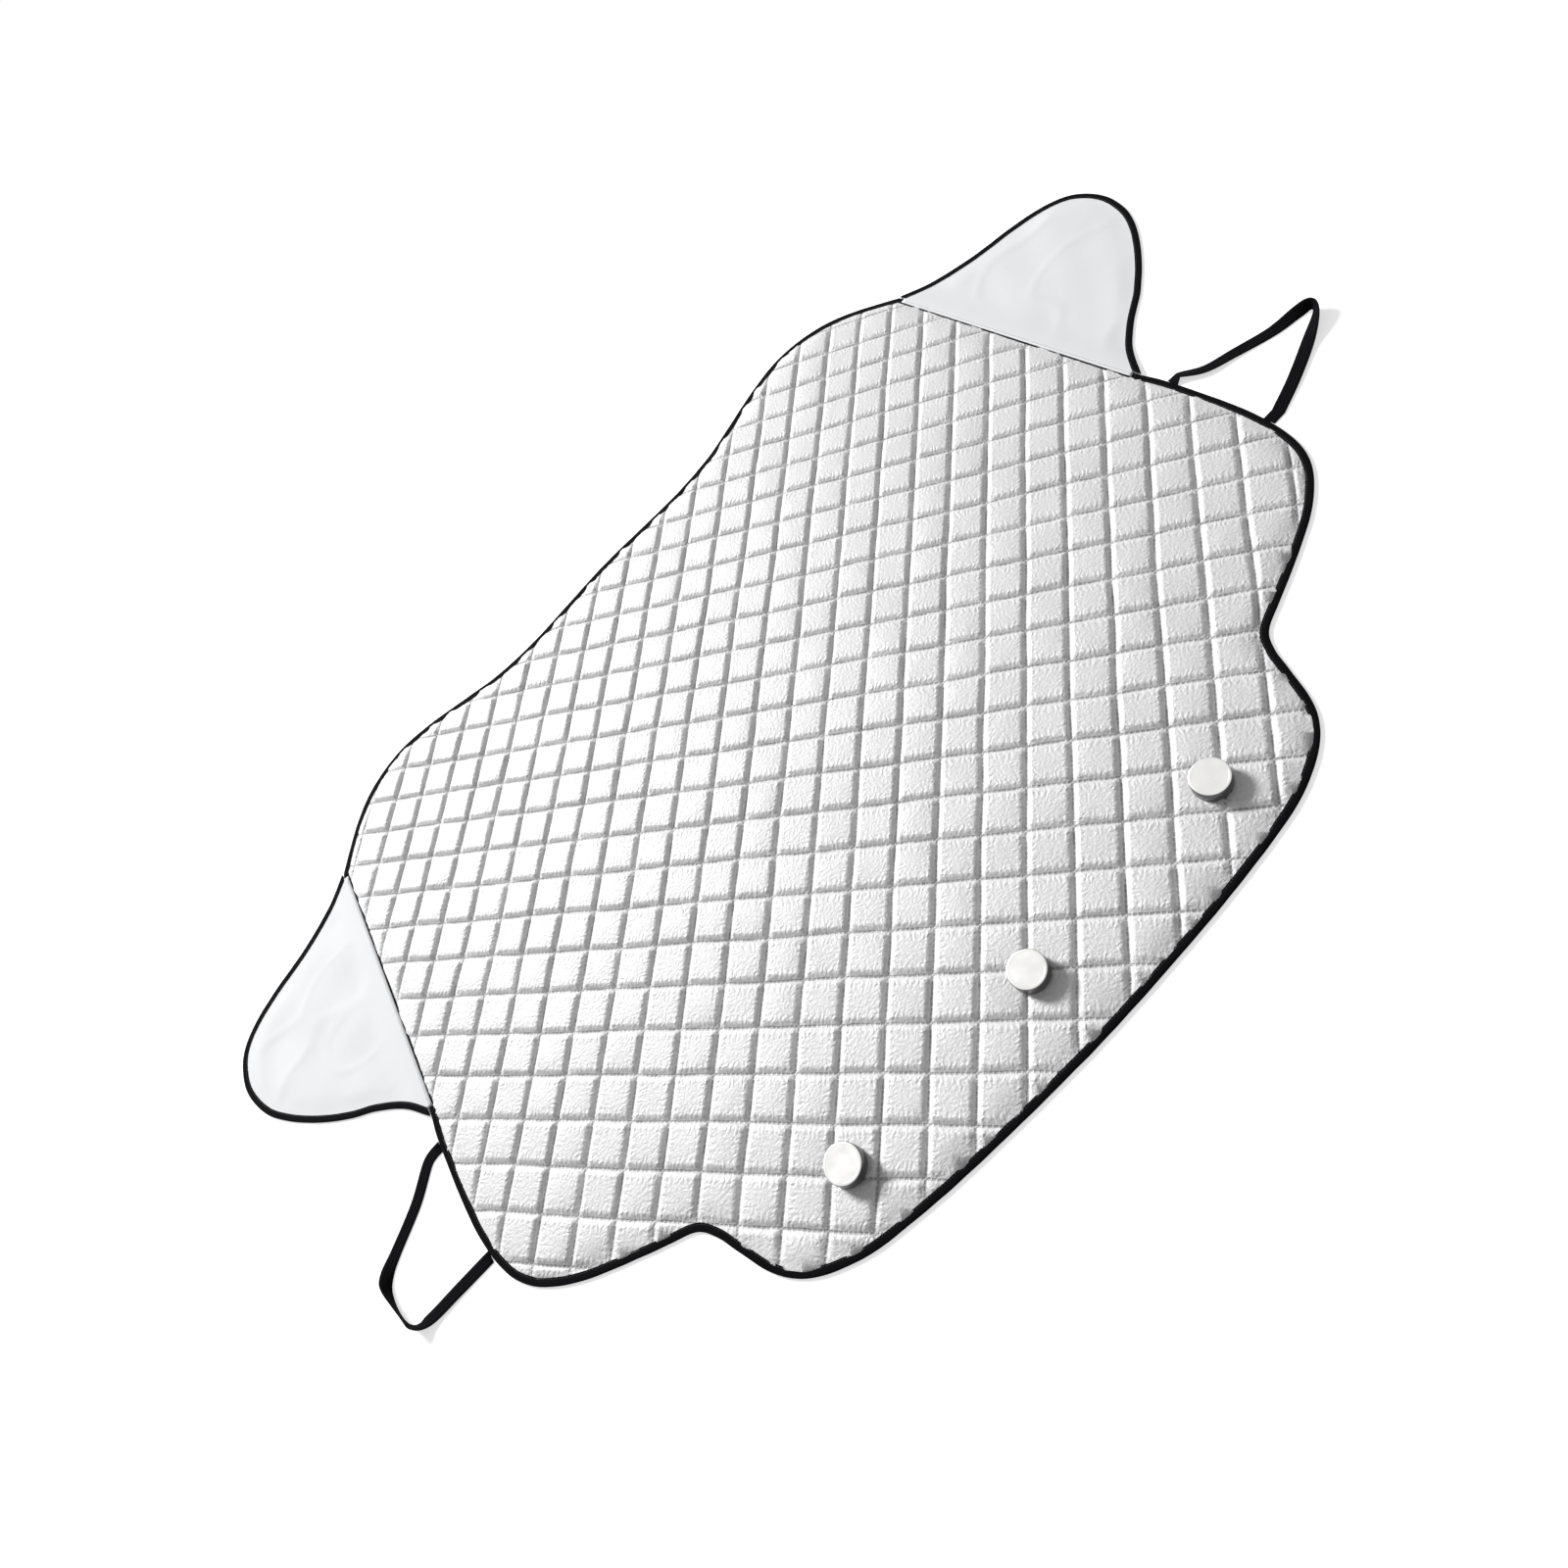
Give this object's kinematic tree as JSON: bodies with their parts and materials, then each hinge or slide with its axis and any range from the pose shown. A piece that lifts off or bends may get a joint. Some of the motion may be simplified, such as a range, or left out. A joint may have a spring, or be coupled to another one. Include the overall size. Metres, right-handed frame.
{
  "type": "windshield frost cover",
  "caption": "Quilted foil windscreen frost cover with plain wing flaps, elastic mirror loops and disc magnets along its lower edge, lying flat with the foil up.",
  "frame": {"origin": "middle of the cover's plan, on the surface that it lies on", "axes": "+X across the car to the cover's right wing as seen from the front, +Y up the glass towards the roof, +Z out of the foil face"},
  "size_m": [1.93, 1.201, 0.0235],
  "materials": {
    "quilted_foil": "aluminised foil film heat-embossed over wadding, satin silver with a fine crinkle",
    "wing_cloth": "plain silver-coated cloth, satin, lightly creased",
    "black_tape": "black woven binding tape, matt",
    "black_elastic": "flat black elastic webbing, matt",
    "nickel_plate": "bright nickel plating, slightly brushed on the face"
  },
  "bodies": {
    "root": {"quilted_pad": "quilted_foil", "pad_edge_tape": "black_tape", "wing_flap_left": "wing_cloth", "wing_flap_right": "wing_cloth", "wing_edge_tape_left": "black_tape", "wing_edge_tape_right": "black_tape", "mirror_loop_left": "black_elastic", "mirror_loop_right": "black_elastic", "magnet_left": "nickel_plate", "magnet_middle": "nickel_plate", "magnet_right": "nickel_plate"}
  },
  "joints": []
}
